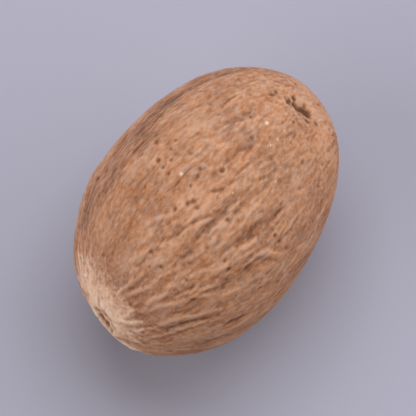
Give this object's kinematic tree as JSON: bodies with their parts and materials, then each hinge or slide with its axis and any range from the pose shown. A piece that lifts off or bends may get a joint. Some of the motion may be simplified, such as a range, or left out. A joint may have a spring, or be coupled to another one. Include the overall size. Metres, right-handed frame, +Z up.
{
  "type": "whole nutmeg",
  "caption": "Whole dried nutmeg seed lying on its side: an egg-shaped brown kernel with lengthwise furrows, a pale stalk scar at one end and a torn dark dimple near the other.",
  "frame": {"origin": "under the middle of the bounding box, on the level surface that the seed rests on", "axes": "+X along the seed from the stalk scar to the dimple end, +Z up, +Y across the seed"},
  "size_m": [0.0288, 0.0206, 0.02],
  "materials": {
    "nutmeg_skin": "dry, dull and finely wrinkled"
  },
  "bodies": {
    "root": {"nutmeg": "nutmeg_skin"}
  },
  "joints": []
}
